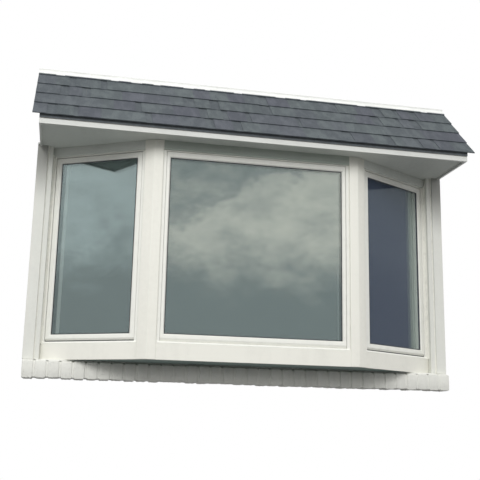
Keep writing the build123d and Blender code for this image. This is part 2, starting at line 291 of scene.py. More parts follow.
class BayWindowSettings(PropertyGroup):
    """Frames, sashes, glass and seals."""

    side_angle: FloatProperty(
        name="Side angle",
        description="Turn of each side light out of the front",
        default=radians(30),
        subtype="ANGLE",
    )
    vinyl: FloatVectorProperty(
        name="Vinyl",
        description="Colour of the extruded frames and sashes",
        default=(0.82, 0.82, 0.765),
        subtype="COLOR",
    )
    edge: FloatProperty(
        name="Edge radius",
        description="Rounding of the extrusions' edges",
        default=0.0016,
        subtype="DISTANCE",
    )
    seal: FloatVectorProperty(
        name="Seal",
        description="Colour of the gaskets and seals",
        default=(0.030, 0.033, 0.036),
        subtype="COLOR",
    )
    gasket: FloatProperty(
        name="Gasket lip",
        description="Gasket that shows round the glass",
        default=0.0036,
        subtype="DISTANCE",
    )
    spacer: FloatVectorProperty(
        name="Spacer bar",
        description="Colour of the bar between the panes",
        default=(0.34, 0.36, 0.35),
        subtype="COLOR",
    )
    glass: FloatVectorProperty(
        name="Glass",
        description="Colour of the glass and the dark room behind it, left and centre",
        default=(0.030, 0.042, 0.043),
        subtype="COLOR",
    )
    shaded_glass: FloatVectorProperty(
        name="Shaded glass",
        description="Colour of the glass in the right light, which mirrors little sky",
        default=(0.066, 0.085, 0.138),
        subtype="COLOR",
    )
    glass_tint: FloatVectorProperty(
        name="Glass tint",
        description="Tint of what the glass mirrors",
        default=(0.82, 1.0, 0.99),
        subtype="COLOR",
    )
    cloud_tint: FloatVectorProperty(
        name="Cloud tint",
        description="Tint of the bright clouds that the centre light mirrors",
        default=(0.94, 1.0, 0.90),
        subtype="COLOR",
    )
    # Painted light and shade: the jamb and sash side behind the glass are painted on the panes' ends.
    jamb: FloatVectorProperty(
        name="Jamb",
        description="Colour of the jamb seen through the end of the glass",
        default=(0.26, 0.31, 0.29),
        subtype="COLOR",
    )
    reveal: FloatVectorProperty(
        name="Reveal",
        description="Colour of the sash side seen through the end of the glass",
        default=(0.66, 0.74, 0.68),
        subtype="COLOR",
    )
    left_reveal: FloatProperty(
        name="Left reveal",
        description="Width of the sash side and jamb seen through the left light's glass",
        default=0.038,
        subtype="DISTANCE",
    )
    right_reveal: FloatProperty(
        name="Right reveal",
        description="Width of the sash side and jamb seen through the right light's glass",
        default=0.086,
        subtype="DISTANCE",
    )
    centre_reveal: FloatProperty(
        name="Centre reveal",
        description="Width of the sash side and jamb seen through the centre light's glass",
        default=0.022,
        subtype="DISTANCE",
    )
    left_mirror: FloatVectorProperty(
        name="Left mirror indices",
        description="Refractive indices for dull and bright sky in the left light",
        default=(3.0, 5.6),
        size=2,
    )
    centre_mirror: FloatVectorProperty(
        name="Centre mirror indices",
        description="Refractive indices for dull and bright sky in the centre light",
        default=(3.0, 7.6),
        size=2,
    )
    right_mirror: FloatVectorProperty(
        name="Right mirror indices",
        description="Refractive indices for dull and bright sky in the right light",
        default=(1.5, 1.7),
        size=2,
    )
    outer_opacity: FloatProperty(
        name="Outer pane opacity",
        description="Opacity of the outer pane",
        default=0.35,
        subtype="FACTOR",
    )
    inner_opacity: FloatProperty(
        name="Inner pane opacity",
        description="Opacity of the inner pane",
        default=0.96,
        subtype="FACTOR",
    )
    enamel: FloatVectorProperty(
        name="Crank enamel",
        description="Colour of the window cranks",
        default=(0.80, 0.80, 0.77),
        subtype="COLOR",
    )


class BayStageSettings(PropertyGroup):
    """Floor, light and camera."""

    floor_level: FloatProperty(
        name="Floor level",
        description="Height of the floor in the frame of the part",
        default=-3.45,
        subtype="DISTANCE",
    )
    floor_radius: FloatProperty(
        name="Floor radius", description="Radius of the floor", default=12.0, subtype="DISTANCE"
    )
    sky_level: FloatProperty(
        name="Light from above", description="Strength of the upper half of the world", default=1.0
    )
    ground_level: FloatProperty(
        name="Light from below", description="Strength of the lower half of the world", default=0.16
    )
    softbox_power: FloatProperty(
        name="Softbox power", description="Power of the front light", default=285.0, unit="POWER"
    )
    softbox_place: FloatVectorProperty(
        name="Softbox place",
        description="Centre of the front light",
        default=(-1.8, -5.9, 2.6),
        subtype="TRANSLATION",
    )
    softbox_size: FloatVectorProperty(
        name="Softbox size",
        description="Width and height of the front light",
        default=(5.0, 3.0),
        size=2,
        subtype="XYZ_LENGTH",
    )
    camera_place: FloatVectorProperty(
        name="Camera place",
        description="Where the photograph was taken from",
        default=(-1.0261, -4.7022, -1.8839),
        subtype="TRANSLATION",
    )
    camera_turn: FloatVectorProperty(
        name="Camera turn",
        description="Turn of the camera about X, Y and Z",
        default=(radians(102.729), radians(-1.171), radians(-12.029)),
        subtype="EULER",
    )
    lens: FloatProperty(
        name="Lens",
        description="Focal length for a 36 mm square sensor, in millimetres",
        default=63.27,
        unit="CAMERA",
    )


# Shader nodes
class Value:
    """An output socket that takes part in arithmetic. Each operator adds a Math node."""

    def __init__(self, nodes, socket):
        self.nodes = nodes
        self.socket = socket

    def maths(self, operation, first, second=0.0):
        return self.nodes.add("ShaderNodeMath", {"operation": operation}, {0: first, 1: second})

    def __add__(self, other):
        return self.maths("ADD", self, other)

    __radd__ = __add__

    def __sub__(self, other):
        return self.maths("SUBTRACT", self, other)

    def __rsub__(self, other):
        return self.maths("SUBTRACT", other, self)

    def __mul__(self, other):
        return self.maths("MULTIPLY", self, other)

    __rmul__ = __mul__

    def __abs__(self):
        return self.maths("ABSOLUTE", self)

    def clamped(self):
        return self.nodes.add("ShaderNodeClamp", {}, {"Value": self})


class Nodes:
    """A node tree. add() makes any node from its type, its settings and its inputs."""

    def __init__(self, tree):
        self.tree = tree
        tree.nodes.clear()

    def add(self, kind, settings, inputs, output=0):
        node = self.tree.nodes.new(kind)
        for name, setting in settings.items():
            setattr(node, name, setting)
        for key, value in inputs.items():
            if isinstance(value, Value):
                self.tree.links.new(value.socket, node.inputs[key])
            else:
                node.inputs[key].default_value = value
        return Value(self, node.outputs[output]) if node.outputs else None

    def place(self):
        return self.add("ShaderNodeTexCoord", {}, {}, "Object")

    def stretched(self, scale):
        """The place on the piece with each axis scaled, for grain and streaks."""
        return self.add("ShaderNodeVectorMath", {"operation": "MULTIPLY"}, {0: self.place(), 1: scale})

    def along(self, axis):
        """One coordinate of the place on the piece: X, Y or Z."""
        return self.add("ShaderNodeSeparateXYZ", {}, {0: self.place()}, axis)

    def cloud(self, scale, detail=3.0, roughness=0.55, stretch=(1.0, 1.0, 1.0)):
        """Noise from 0 to 1."""
        place = self.stretched(stretch)
        inputs = {"Vector": place, "Scale": scale, "Detail": detail, "Roughness": roughness}
        return self.add("ShaderNodeTexNoise", {}, inputs)

    def cells(self, scale, output="Distance"):
        return self.add("ShaderNodeTexVoronoi", {}, {"Vector": self.place(), "Scale": scale}, output)

    def attribute(self, name):
        return self.add("ShaderNodeAttribute", {"attribute_name": name}, {}, "Fac")

    def step(self, value, low, high):
        """Smooth step from 0 at low to 1 at high."""
        return self.add(
            "ShaderNodeMapRange",
            {"interpolation_type": "SMOOTHSTEP"},
            {"Value": value, "From Min": low, "From Max": high},
        )

    def blend(self, factor, first, second):
        """Two colours mixed. The colour sockets of Mix are its inputs 6 and 7 and its output 2."""
        return self.add("ShaderNodeMix", {"data_type": "RGBA"}, {0: factor, 6: first, 7: second}, 2)

    def bump(self, height, distance):
        return self.add("ShaderNodeBump", {}, {"Height": height, "Distance": distance})

    def principled(self, **inputs):
        """The principled shader. Underscores in the names stand for spaces."""
        named = {name.replace("_", " "): value for name, value in inputs.items()}
        return self.add("ShaderNodeBsdfPrincipled", {}, named)

    def output(self, shader):
        self.add("ShaderNodeOutputMaterial", {}, {"Surface": shader})

    def surface(self, **inputs):
        self.output(self.principled(**inputs))


def new_finish(name):
    """An empty material and its nodes."""
    material = bpy.data.materials.new(name)
    material.use_nodes = True
    return material, Nodes(material.node_tree)


def opaque(colour, share=1.0):
    """A colour with alpha, at a share of its brightness."""
    return (*(share * channel for channel in colour), 1.0)


def coated_trim_finish(name, colour, soffit_shade=0.0):
    """Coated board: faint waves in the sheet, faint dust and rain streaks, and painted shade at the
    soffit.
    """
    material, nodes = new_finish(name)
    streaks = nodes.cloud(6.0, 4.0, 0.6, (1.0, 1.0, 0.12))
    dust = nodes.cloud(38.0, 4.0, 0.65)
    wear = nodes.step(streaks * 0.7 + dust * 0.3, 0.42, 0.72)
    base = nodes.blend(wear * 0.5, opaque(colour), opaque(colour, 0.86))
    # Painted shade: the board darkens towards the soffit above it, by the share given.
    shade_below_soffit = nodes.step(nodes.along("Z") + streaks * 0.08, *SOFFIT_SHADE_HEIGHTS)
    base = nodes.blend(shade_below_soffit * soffit_shade, base, opaque(colour, 0.15))
    sheet = nodes.cloud(5.5, 2.0, 0.4)
    stipple = nodes.cloud(900.0, 2.0)
    waves = nodes.bump(sheet + stipple * 0.02, 0.0015)
    nodes.surface(
        Base_Color=base, Roughness=0.36 + dust * 0.14, Normal=waves, Specular_IOR_Level=0.35
    )
    return material


def vinyl_finish(name, colour):
    """Extruded vinyl: fine die lines, a soft sheen and a little dust."""
    material, nodes = new_finish(name)
    dust = nodes.cloud(22.0, 4.0, 0.6)
    base = nodes.blend(nodes.step(dust, 0.45, 0.75) * 0.45, opaque(colour), opaque(colour, 0.88))
    lines = nodes.cloud(700.0, 2.0, 0.5, (1.0, 1.0, 0.02))
    skin = nodes.cloud(9.0, 2.0, 0.4)
    relief = nodes.bump(skin * 0.6 + lines * 0.05, 0.0012)
    nodes.surface(
        Base_Color=base, Roughness=0.27 + dust * 0.12, Normal=relief, Specular_IOR_Level=0.4
    )
    return material


def soffit_finish(name, colour):
    """Matt panel in the shade, with faint water marks."""
    material, nodes = new_finish(name)
    marks = nodes.cloud(4.0, 5.0, 0.62, (1.0, 0.35, 1.0))
    fine = nodes.cloud(60.0, 3.0)
    stain = nodes.step(marks * 0.75 + fine * 0.25, 0.40, 0.68)
    base = nodes.blend(stain * 0.6, opaque(colour), opaque(colour, 0.80))
    relief = nodes.bump(nodes.cloud(420.0, 3.0) * 0.3 + marks, 0.0008)
    nodes.surface(Base_Color=base, Roughness=0.62 + fine * 0.2, Normal=relief, Specular_IOR_Level=0.15)
    return material


def painted_board_finish(name, colour):
    """Brush-painted board with faint strokes along it."""
    material, nodes = new_finish(name)
    strokes = nodes.cloud(60.0, 3.0, 0.6, (0.05, 1.0, 1.0))
    patches = nodes.cloud(3.0, 3.0)
    base = nodes.blend(patches * 0.4, opaque(colour), opaque(colour, 0.88))
    nodes.surface(
        Base_Color=base, Roughness=0.34 + strokes * 0.2, Normal=nodes.bump(strokes, 0.0004)
    )
    return material


def timber_finish(name, settings, grain):
    """Sawn softwood. Grain is the scale of each axis, small along the fibres."""
    material, nodes = new_finish(name)
    rings = nodes.cloud(30.0, 4.0, 0.5, grain)
    bands = nodes.add("ShaderNodeMath", {"operation": "FRACT"}, {0: rings * 9.0})
    late = nodes.step(bands, 0.55, 0.98)
    fibres = nodes.cloud(260.0, 3.0, 0.6, grain)
    tone = nodes.cloud(1.6, 2.0)
    grown = late * 0.55 + fibres * 0.25
    wood = nodes.blend(grown, opaque(settings.timber), opaque(settings.late_wood))
    base = nodes.blend(tone * 0.35, wood, opaque(settings.timber, 0.72))
    relief = nodes.bump(fibres * 0.7 + late * 0.3, 0.0006)
    nodes.surface(Base_Color=base, Roughness=0.68 + fibres * 0.18, Normal=relief)
    return material


def shingle_finish(name, settings):
    """Mineral granules whose tone and tint change from tab to tab."""
    material, nodes = new_finish(name)
    granules = nodes.cells(620.0, "Color")
    grey = nodes.add("ShaderNodeSeparateColor", {}, {"Color": granules}, "Red")
    drift = nodes.cloud(7.0, 3.0)
    tone = nodes.attribute("tone")
    tint = nodes.attribute("tint")
    drops = nodes.step(nodes.cloud(24.0, 2.0, 0.5, (1.0, 0.4, 0.4)), 0.42, 0.64)
    level = (grey * 0.5 + drift * 0.16 + drops * 0.22 + tone * 0.20 + 0.05).clamped()
    pale = nodes.blend(tint, opaque(settings.light), opaque(settings.violet))
    base = nodes.blend(level, opaque(settings.dark), pale)
    relief = nodes.bump(nodes.cells(620.0) + nodes.cloud(45.0, 3.0), 0.0011)
    nodes.surface(
        Base_Color=base, Roughness=0.84 + grey * 0.12, Normal=relief, Specular_IOR_Level=0.25
    )
    return material


def brick_paint_finish(name, settings, sill_bottom, sill_top):
    """Thick masonry paint over rough bricks, dusty in pits, with painted shade under the bay at its top.
    """
    material, nodes = new_finish(name)
    coarse = nodes.cloud(55.0, 5.0, 0.65)
    fine = nodes.cloud(330.0, 4.0, 0.6)
    pits = 1.0 - nodes.step(nodes.cells(120.0), 0.05, 0.26)
    # Painted shade under the bay: darker towards the sill's top, fading out towards the sill's ends.
    bay_shade = nodes.step(nodes.along("Z"), sill_bottom, sill_top)
    bay_shade = bay_shade * (1.0 - nodes.step(abs(nodes.along("X")), *BAY_SHADE_SPAN))
    runs = nodes.step(nodes.cloud(26.0, 4.0, 0.6, (1.0, 1.0, 0.2)), 0.5, 0.75)
    tone = nodes.attribute("tone")
    dirt_and_shade = (pits * coarse * 0.7 + bay_shade * 0.5 + runs * 0.2 + tone * 0.14).clamped()
    base = nodes.blend(dirt_and_shade * 0.6, opaque(settings.paint), opaque(settings.dirt_and_shade))
    relief = nodes.bump(coarse + fine * 0.35 - pits * 0.8, 0.0022)
    nodes.surface(
        Base_Color=base, Roughness=0.58 + coarse * 0.25, Normal=relief, Specular_IOR_Level=0.25
    )
    return material


def flashing_finish(name, colour):
    """Hand-painted flashing and sealant."""
    material, nodes = new_finish(name)
    smears = nodes.cloud(30.0, 4.0, 0.6, (0.25, 1.0, 1.0))
    base = nodes.blend(nodes.step(smears, 0.4, 0.7) * 0.5, opaque(colour), opaque(colour, 0.80))
    nodes.surface(
        Base_Color=base, Roughness=0.42 + smears * 0.2, Normal=nodes.bump(smears, 0.0016)
    )
    return material


def dark_metal_finish(name, colour):
    """Coated sheet with a little dust."""
    material, nodes = new_finish(name)
    dust = nodes.cloud(40.0, 5.0, 0.65)
    base = nodes.blend(nodes.step(dust, 0.4, 0.8) * 0.5, opaque(colour), opaque(colour, 2.2))
    nodes.surface(
        Base_Color=base,
        Roughness=0.45 + dust * 0.25,
        Normal=nodes.bump(nodes.cloud(12.0, 2.0), 0.0015),
    )
    return material


def seal_finish(name, colour):
    """Rubber with a matt, slightly dusty skin."""
    material, nodes = new_finish(name)
    dust = nodes.cloud(180.0, 3.0)
    base = nodes.blend(dust * 0.5, opaque(colour), opaque(colour, 2.0))
    nodes.surface(Base_Color=base, Roughness=0.6 + dust * 0.25, Normal=nodes.bump(dust, 0.0003))
    return material


def spacer_finish(name, colour):
    """Coated aluminium with rolled lines and the rows of fine holes that dry the cavity."""
    material, nodes = new_finish(name)
    lines = nodes.cloud(500.0, 2.0, 0.5, (1.0, 1.0, 0.04))
    holes = 1.0 - nodes.step(nodes.cells(260.0), 0.06, 0.14)
    base = nodes.blend(lines * 0.4 + holes * 0.4, opaque(colour), opaque(colour, 0.55))
    nodes.surface(
        Base_Color=base,
        Metallic=0.1,
        Roughness=0.35 + lines * 0.2,
        Normal=nodes.bump(lines * 0.3 - holes, 0.0004),
    )
    return material


def enamel_finish(name, colour):
    """Baked enamel with a faint orange-peel skin."""
    material, nodes = new_finish(name)
    peel = nodes.cloud(420.0, 2.0)
    rub = nodes.cloud(35.0, 4.0)
    base = nodes.blend(rub * 0.35, opaque(colour), opaque(colour, 0.86))
    nodes.surface(Base_Color=base, Roughness=0.22 + rub * 0.14, Normal=nodes.bump(peel, 0.0002))
    return material


def glass_finish(name, colours, tints, indices, opacity, cloud_edge):
    """Glass with a painted reflection: by place on the pane it mirrors a bright sky in cloud banks and
    duller air lower down.

    The colours are those of the dark room, the jamb and the sash side seen through the pane; the last two
    are painted at the pane's end, one lit and one in shade. The vertices' "jamb", "sash" and "bar" say
    how far a point lies inside each of the last two and inside the spacer bar's painted shadow. Tints and
    refractive indices are for the dull and the bright sky. Reflection dulling says how much the painted
    reflection dulls above the bank's slanting edge.
    """
    material, nodes = new_finish(name)
    # Painted reflection: the mirrored sky is a pattern fixed on the pane, brighter in cloud banks and
    # higher up.
    cloud_reflection = nodes.cloud(3.5, 8.0, 0.68, (1.0, 1.0, 1.6))
    height = nodes.step(nodes.along("Z"), *REFLECTED_HAZE)
    above = nodes.along("Z") - BANK_SLANT * nodes.along("X") + 0.9 * cloud_reflection
    clear = nodes.step(above, *BANK_EDGE)
    sky = nodes.step(height * 0.62 + cloud_reflection * 0.85 - clear * cloud_edge, 0.60, 1.20)
    room, jamb, sash_side = (opaque(colour) for colour in colours)
    # Painted light and shade of the jamb and sash side at the pane's end.
    jamb_seen = nodes.step(nodes.attribute("jamb"), 0.0, 0.004)
    sash_seen = nodes.step(nodes.attribute("sash"), 0.0, 0.003)
    bar_seen = nodes.step(nodes.attribute("bar"), 0.0, 0.003)
    colour = nodes.blend(sash_seen, nodes.blend(jamb_seen, room, jamb), sash_side)
    # Painted shadow of the spacer bar at the pane's end.
    colour = nodes.blend(bar_seen, colour, room)
    film = nodes.cloud(7.0, 3.0, 0.6, (1.0, 1.0, 0.3))
    shaders = [
        nodes.principled(
            Base_Color=colour,
            Roughness=0.012 + film * 0.02,
            IOR=index,
            Alpha=opacity,
            Specular_Tint=opaque(tint),
        )
        for tint, index in zip(tints, indices)
    ]
    nodes.output(nodes.add("ShaderNodeMixShader", {}, {0: sky, 1: shaders[0], 2: shaders[1]}))
    return material


# Mesh helpers
def evenly(first, last, steps):
    """Places at equal steps from first to last, both included."""
    return [first + (last - first) * number / steps for number in range(steps + 1)]


def wobble(x, waves, seed):
    """Smooth noise from about -1 to 1 along X, with so many waves to the metre."""
    return noise.noise(Vector((x * waves, seed, 0)))


def loft(mesh, sections, closed=False):
    """Skin sections of equal point counts. A closed loft joins its last section to its first."""
    rings = [[mesh.verts.new(point) for point in section] for section in sections]
    pairs = list(zip(rings, rings[1:]))
    if closed:
        pairs.append((rings[-1], rings[0]))
    else:
        mesh.faces.new(rings[0])
        mesh.faces.new(list(reversed(rings[-1])))
    for first, second in pairs:
        for here, there in zip(range(-1, len(first) - 1), range(len(first))):
            mesh.faces.new((first[here], first[there], second[there], second[here]))
    return [vertex for ring in rings for vertex in ring]


def set_back(end, radius):
    """How far a rounded corner stands back at a distance from the end of its piece."""
    short = max(0.0, radius - end)
    return radius - (radius**2 - short**2) ** 0.5


def add_piece(name, mesh, material, stands_for=()):
    """Turn a bmesh into a piece that rides on the bay."""
    bmesh.ops.recalc_face_normals(mesh, faces=mesh.faces)
    data = bpy.data.meshes.new(name)
    mesh.to_mesh(data)
    mesh.free()
    data.shade_smooth()
    data.set_sharp_from_angle(angle=SMOOTH_ANGLE)
    data.materials.append(material)
    piece = bpy.data.objects.new(name, data)
    bpy.context.scene.collection.objects.link(piece)
    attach(piece, "root")
    if stands_for:
        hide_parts(*stands_for)


def ease_edges(node, radius, segments):
    """Round a board's edges: merge its corners and flat faces, bevel and weight the normals."""
    weld = node.modifiers.new("Weld", "WELD")
    weld.merge_threshold = MERGED
    flat = node.modifiers.new("Flat faces", "DECIMATE")
    flat.decimate_type = "DISSOLVE"
    flat.angle_limit = FLAT_ANGLE
    bevel = node.modifiers.new("Edges", "BEVEL")
    bevel.width = radius
    bevel.segments = segments
    bevel.limit_method = "ANGLE"
    bevel.angle_limit = EDGE_ANGLE
    shade = node.modifiers.new("Shading", "WEIGHTED_NORMAL")
    shade.keep_sharp = True


def finish_nodes(names, material, radius, segments=2):
    """Give CAD nodes a finish and eased edges."""
    for name in names:
        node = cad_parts[name]
        node.data.materials.clear()
        node.data.materials.append(material)
        ease_edges(node, radius, segments)


def both(name):
    """The nodes on the two sides."""
    return [f"{side}_{name}" for side in SIDES]


def each_light(name):
    """The nodes of the three lights."""
    return [f"{light}_{name}" for light in LIGHTS]


def bay_corner():
    """The front corner of the bay: the outermost point of the right cover's front."""
    corners = [vertex.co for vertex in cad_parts["right_corner_cover"].data.vertices]
    front = min(corner.y for corner in corners)
    return max(corner.x for corner in corners if corner.y < front + LEVEL_WITH), front


class LightPlane:
    """One light's plane. Its points are along the light, up, and behind its face."""

    def __init__(self, name, side_angle):
        corner_x, corner_y = bay_corner()
        side = {"left": -1, "centre": 0, "right": 1}[name]
        angle = side * side_angle
        self.name = name
        self.origin = Vector((side * corner_x, corner_y, 0))
        self.across = Vector((cos(angle), sin(angle), 0)) * (side or 1)
        self.inward = Vector((-sin(angle), cos(angle), 0))

    def point(self, along, up, depth):
        return self.origin + self.across * along + self.inward * depth + Vector((0, 0, up))

    def extent(self, piece):
        """Lowest and highest (along, up, depth) of one of this light's nodes."""
        places = []
        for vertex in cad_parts[f"{self.name}_{piece}"].data.vertices:
            offset = vertex.co - self.origin
            places.append((offset.dot(self.across), vertex.co.z, offset.dot(self.inward)))
        return tuple(map(min, zip(*places))), tuple(map(max, zip(*places)))

    def window_face(self):
        """Depth of the frame's front face, behind its nose."""
        return self.extent("sash")[0][2] - SASH_RECESS

    def ring(self, mesh, low, high, profile):
        """A mitred rectangle. The profile's points are (outwards from the edge, depth)."""
        corners = [
            (low[0], low[1], -1, -1),
            (high[0], low[1], 1, -1),
            (high[0], high[1], 1, 1),
            (low[0], high[1], -1, 1),
        ]
        sections = [
            [self.point(along + x * out, up + z * out, depth) for out, depth in profile]
            for along, up, x, z in corners
        ]
        loft(mesh, sections, closed=True)

    def bar(self, mesh, ends, profile):
        """A straight bar along the light. The profile's points are (up, depth)."""
        loft(mesh, [[self.point(along, up, depth) for up, depth in profile] for along in ends])

    def rounded(self, centre, half, depth, power=4.0, count=28):
        """A superellipse in the light's plane."""
        points = []
        for turn in evenly(0.0, 2 * pi, count)[:-1]:
            along = abs(cos(turn)) ** (2 / power) * (1 if cos(turn) > 0 else -1)
            up = abs(sin(turn)) ** (2 / power) * (1 if sin(turn) > 0 else -1)
            points.append(self.point(centre[0] + half[0] * along, centre[1] + half[1] * up, depth))
        return points


# Roof
class Slope:
    """Roof coordinates: along the wall, up the slope from the eave, and above the deck."""

    def __init__(self, settings):
        low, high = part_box("roof_deck")
        self.pitch = settings.pitch
        self.run = Vector((0, cos(self.pitch), sin(self.pitch)))
        self.above = Vector((0, -sin(self.pitch), cos(self.pitch)))
        edge = low.y - settings.eave_overhang * cos(self.pitch)
        self.eave = Vector((0, edge, high.z + edge * sin(self.pitch) / cos(self.pitch)))

    def point(self, x, up, above):
        return self.eave + Vector((x, 0, 0)) + self.run * up + self.above * above

    def reach(self, y):
        """How far up the slope a line on the deck has this y."""
        return (y - self.eave.y) / cos(self.pitch)


class BAY_OT_lay_shingles(Operator):
    """Lay each course as strips with an upper layer of uneven tabs"""

    bl_idname = "bay.lay_shingles"
    bl_label = "Lay Shingles"

    first_seed = 40
    sliver = 0.001  # narrower than this, nothing more is laid at the end of a course
    station = 0.06
    ripple = 0.0005
    butt_wave = 0.0007
    strip = 1.0
    first_strip = (0.25, 0.9)  # shares of a strip that a course may start with
    strip_seam = 0.0003
    strip_tone = 0.3
    strip_tint = 0.25
    tab_tones = (0.3, 0.95)
    closed_share = 0.55  # of the gaps between tabs
    closed_gap = 0.0002
    open_gap = (0.02, 0.07)

    def execute(self, context):
        settings = context.scene.bay_roof
        material = shingle_finish("Charcoal shingle", settings)
        slope = Slope(settings)
        course = 1
        while f"shingle_course_{course}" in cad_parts:
            self.lay_course(settings, slope, course, material)
            course += 1
        return {"FINISHED"}

    def lay_course(self, settings, slope, course, material):
        name = f"shingle_course_{course}"
        low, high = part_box(name)
        rng = random.Random(self.first_seed + course)
        length = settings.exposure + settings.lap
        butt_rise = settings.thickness * length / settings.exposure
        fall = butt_rise / length
        start = (course - 1) * settings.exposure
        ups = (start, min(start + length, slope.reach(high.y) - settings.thickness))

        def layer(*shares):
            """Under and top of a layer at its butt and at its head, from shares of the thickness."""
            under = [butt_rise - fall * (up - start) for up in ups]
            return [[height + share * settings.thickness for share in shares] for height in under]

        mesh = bmesh.new()
        mesh.verts.layers.float.new("tone")
        mesh.verts.layers.float.new("tint")
        x = low.x
        width = self.strip * rng.uniform(*self.first_strip)
        while x < high.x - self.sliver:
            right = min(high.x, x + width)
            slab = self.lay_slab(mesh, slope, (x, right), ups, layer(0.0, 0.5), rng)
            self.shade(mesh, slab, self.strip_tone, self.strip_tint)
            x = right + self.strip_seam
            width = self.strip
        x = low.x
        while x < high.x - self.sliver:
            right = min(high.x, x + rng.uniform(settings.shortest_tab, settings.longest_tab))
            if high.x - right < 0.5 * settings.shortest_tab:
                right = high.x
            tone = rng.uniform(*self.tab_tones)
            tint = rng.random() ** 2
            slab = self.lay_slab(mesh, slope, (x, right), ups, layer(0.5, 1.0), rng)
            self.shade(mesh, slab, tone, tint)
            closed = rng.random() < self.closed_share
            x = right + (self.closed_gap if closed else rng.uniform(*self.open_gap))
        add_piece(name.replace("course", "tabs"), mesh, material, [name])

    def lay_slab(self, mesh, slope, span, ups, layer, rng):
        """A piece of shingle between two places along the wall, with a ripple and a wavy butt."""
        steps = max(2, round((span[1] - span[0]) / self.station))
        (butt_under, butt_top), (head_under, head_top) = layer
        sections = []
        for x in evenly(*span, steps):
            ripple = noise.noise(Vector((x * 9, ups[0] * 31, rng.random())))
            lift = min(0.0, self.ripple * ripple)
            butt = ups[0] + self.butt_wave * abs(noise.noise(Vector((x * 23, ups[0] * 17, 4.2))))
            sections.append(
                [
                    slope.point(x, butt, butt_under),
                    slope.point(x, ups[1], head_under),
                    slope.point(x, ups[1], head_top + lift),
                    slope.point(x, butt, butt_top + lift),
                ]
            )
        return loft(mesh, sections)

    def shade(self, mesh, vertices, tone, tint):
        """Tell the finish how dark and how violet a slab's granules are."""
        layers = mesh.verts.layers.float
        for vertex in vertices:
            vertex[layers["tone"]] = tone
            vertex[layers["tint"]] = tint


class BAY_OT_flash_roof(Operator):
    """Form the painted flashing with its uneven lower edge, run the sealant and coat the drip edge"""

    bl_idname = "bay.flash_roof"
    bl_label = "Flash Roof"

    sheet = 0.002
    station = 0.02
    least_cut = 0.108  # share of the leg that stays bare where the painted edge hangs low
    cut_wave = 0.09
    below_top = 0.0006
    ripple = 0.0003
    bead = 0.0032
    bead_sides = 7
    drip_edge_radius = 0.0004

    def execute(self, context):
        settings = context.scene.bay_roof
        slope = Slope(settings)
        material = flashing_finish("Painted flashing", settings.flashing)
        low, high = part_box("wall_flashing")
        stations = evenly(low.x, high.x, round((high.x - low.x) / self.station))
        self.form_flashing(stations, slope, low, high, material)
        self.run_bead(stations, high, material)
        coating = dark_metal_finish("Charcoal coating", settings.drip)
        finish_nodes(["drip_edge"], coating, self.drip_edge_radius)
        return {"FINISHED"}

    def form_flashing(self, stations, slope, low, high, material):
        """A bent sheet: leg on the shingles, bend, and upstand against the wall."""
        mesh = bmesh.new()
        leg = (high.y - low.y) / cos(slope.pitch)
        bend_z = low.z + (high.y - low.y)
        top = high.z - self.below_top
        sections = []
        for x in stations:
            wave = wobble(x, 5.3, 1.7) + 0.5 * wobble(x, 17, 4.1)
            cut = leg * (self.least_cut + self.cut_wave * (wave + 1.0))
            y = low.y + cut * cos(slope.pitch)
            z = low.z + cut * sin(slope.pitch)
            face = -self.sheet - self.ripple * wobble(x, 11, 8.8)
            sections.append(
                [
                    (x, y, z),
                    (x, -self.sheet, bend_z - self.sheet),
                    (x, 0.0, bend_z),
                    (x, 0.0, top),
                    (x, face, top),
                    (x, face, bend_z + self.sheet * 0.6),
                    (x, y, z + self.sheet),
                ]
            )
        loft(mesh, sections)
        add_piece("formed_flashing", mesh, material, ["wall_flashing"])

    def run_bead(self, stations, high, material):
        """Sealant along the top of the upstand, pressed against the wall."""
        mesh = bmesh.new()
        turns = evenly(0.0, pi, self.bead_sides)
        middle = high.z - self.bead
        sections = []
        for x in stations:
            swell = self.bead * (0.75 + 0.2 * wobble(x, 37, 0.4))
            out, up = 0.8 * swell, 0.95 * swell
            sections.append(
                [(x, -self.sheet * 0.6 - out * abs(sin(turn)), middle + up * cos(turn)) for turn in turns]
            )
        loft(mesh, sections)
        add_piece("wall_sealant", mesh, material)


